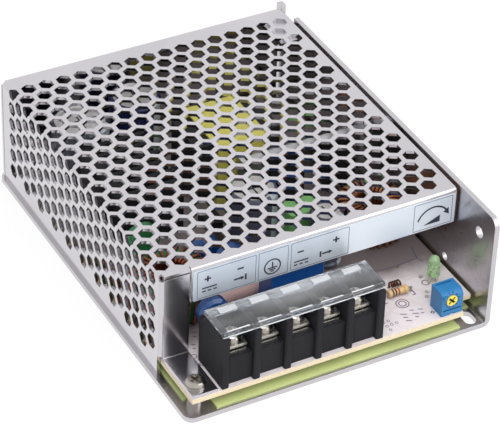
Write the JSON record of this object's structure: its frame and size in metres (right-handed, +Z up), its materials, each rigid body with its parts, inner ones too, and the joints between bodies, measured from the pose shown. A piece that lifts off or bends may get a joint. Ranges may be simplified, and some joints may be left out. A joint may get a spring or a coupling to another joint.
{
  "type": "enclosed power supply",
  "caption": "Enclosed switch-mode power supply: folded aluminium chassis, perforated cover and an open front bay with a barrier terminal block under a clear hinged lid.",
  "frame": {"origin": "middle of the base plate's underside", "axes": "+X to the tall side wall, +Y to the rear, away from the terminals, +Z up"},
  "size_m": [0.098, 0.128, 0.038],
  "materials": {
    "aluminium_sheet": "satin bare sheet",
    "cover_sheet": "satin bare sheet, punched",
    "insulator": "lime film",
    "board": "pale printed laminate",
    "steel": "bright plated",
    "tin": "tinned",
    "black_moulding": "moulded",
    "clear_plastic": "clear moulding",
    "blue_plastic": "moulded",
    "yellow_plastic": "moulded",
    "green_lens": "tinted clear moulding",
    "tan_coating": "coated",
    "brown_coating": "coated",
    "ferrite": "fired ferrite",
    "yellow_tape": "tape",
    "sleeve": "shrink sleeve",
    "navy_sleeve": "shrink sleeve",
    "green_coating": "dipped coating",
    "navy_coating": "powder coating",
    "copper_wire": "enamelled wire",
    "green_core": "coated ferrite",
    "enamel_wire": "dark enamelled wire",
    "blue_coating": "dipped coating",
    "pink_ceramic": "ceramic",
    "black_anodise": "black anodised"
  },
  "bodies": {
    "supply": {"chassis": "aluminium_sheet", "cover": "cover_sheet", "insulating_sheet": "insulator", "circuit_board": "board", "standoffs": "steel", "board_screws": "steel", "terminal_block": "black_moulding", "terminal_plates": "tin", "trimmer_body": "blue_plastic", "indicator_lens": "green_lens", "indicator_leads": "tin", "band_resistor": "tan_coating", "small_resistor": "brown_coating", "transformer_core": "ferrite", "transformer_winding": "yellow_tape", "heatsink_bracket": "aluminium_sheet", "power_transistors": "black_moulding", "input_capacitor": "sleeve", "second_capacitor": "navy_sleeve", "output_capacitors": "sleeve", "film_capacitor": "green_coating", "box_capacitor": "blue_plastic", "output_choke_core": "navy_coating", "output_choke_winding": "copper_wire", "line_choke_core": "green_core", "line_choke_winding": "enamel_wire", "surge_disc": "green_coating", "safety_capacitors": "blue_coating", "bridge_rectifier": "black_moulding", "bridge_sink": "black_anodise", "fuse": "pink_ceramic", "control_chip": "black_moulding", "optocoupler": "black_moulding"},
    "lid": {"terminal_lid": "clear_plastic"},
    "rotor": {"trimmer_rotor": "yellow_plastic"},
    "washer_1": {"clamp_1": "tin"},
    "screw_1": {"terminal_screw_1": "steel"},
    "washer_2": {"clamp_2": "tin"},
    "screw_2": {"terminal_screw_2": "steel"},
    "washer_3": {"clamp_3": "tin"},
    "screw_3": {"terminal_screw_3": "steel"},
    "washer_4": {"clamp_4": "tin"},
    "screw_4": {"terminal_screw_4": "steel"},
    "washer_5": {"clamp_5": "tin"},
    "screw_5": {"terminal_screw_5": "steel"}
  },
  "joints": [
    {"name": "lid_hinge", "type": "hinge", "parent": "supply", "child": "lid", "pos_m": [0, -0.05075, 0.024], "axis": [-1, 0, 0], "range_deg": [0, 105]},
    {"name": "trimmer_turn", "type": "hinge", "parent": "supply", "child": "rotor", "pos_m": [0.0364, -0.0622, 0.0123], "axis": [0, -1, 0], "range_deg": [-135, 135]},
    {"name": "clamp_lift_1", "type": "slide", "parent": "supply", "child": "washer_1", "axis": [0, 0, 1], "range_m": [-0.00045, 0.0021]},
    {"name": "screw_turn_1", "type": "hinge", "parent": "washer_1", "child": "screw_1", "pos_m": [-0.0316, -0.056, 0.01855], "axis": [0, 0, 1], "range_deg": [-270, 1260]},
    {"name": "clamp_lift_2", "type": "slide", "parent": "supply", "child": "washer_2", "axis": [0, 0, 1], "range_m": [-0.00045, 0.0021]},
    {"name": "screw_turn_2", "type": "hinge", "parent": "washer_2", "child": "screw_2", "pos_m": [-0.0218, -0.056, 0.01855], "axis": [0, 0, 1], "range_deg": [-270, 1260]},
    {"name": "clamp_lift_3", "type": "slide", "parent": "supply", "child": "washer_3", "axis": [0, 0, 1], "range_m": [-0.00045, 0.0021]},
    {"name": "screw_turn_3", "type": "hinge", "parent": "washer_3", "child": "screw_3", "pos_m": [-0.012, -0.056, 0.01855], "axis": [0, 0, 1], "range_deg": [-270, 1260]},
    {"name": "clamp_lift_4", "type": "slide", "parent": "supply", "child": "washer_4", "axis": [0, 0, 1], "range_m": [-0.00045, 0.0021]},
    {"name": "screw_turn_4", "type": "hinge", "parent": "washer_4", "child": "screw_4", "pos_m": [-0.0022, -0.056, 0.01855], "axis": [0, 0, 1], "range_deg": [-270, 1260]},
    {"name": "clamp_lift_5", "type": "slide", "parent": "supply", "child": "washer_5", "axis": [0, 0, 1], "range_m": [-0.00045, 0.0021]},
    {"name": "screw_turn_5", "type": "hinge", "parent": "washer_5", "child": "screw_5", "pos_m": [0.0076, -0.056, 0.01855], "axis": [0, 0, 1], "range_deg": [-270, 1260]}
  ],
  "couplings": [
    {"joint": "screw_turn_1", "follows": "clamp_lift_1", "rad_per_m": 10472},
    {"joint": "screw_turn_2", "follows": "clamp_lift_2", "rad_per_m": 10472},
    {"joint": "screw_turn_3", "follows": "clamp_lift_3", "rad_per_m": 10472},
    {"joint": "screw_turn_4", "follows": "clamp_lift_4", "rad_per_m": 10472},
    {"joint": "screw_turn_5", "follows": "clamp_lift_5", "rad_per_m": 10472}
  ]
}
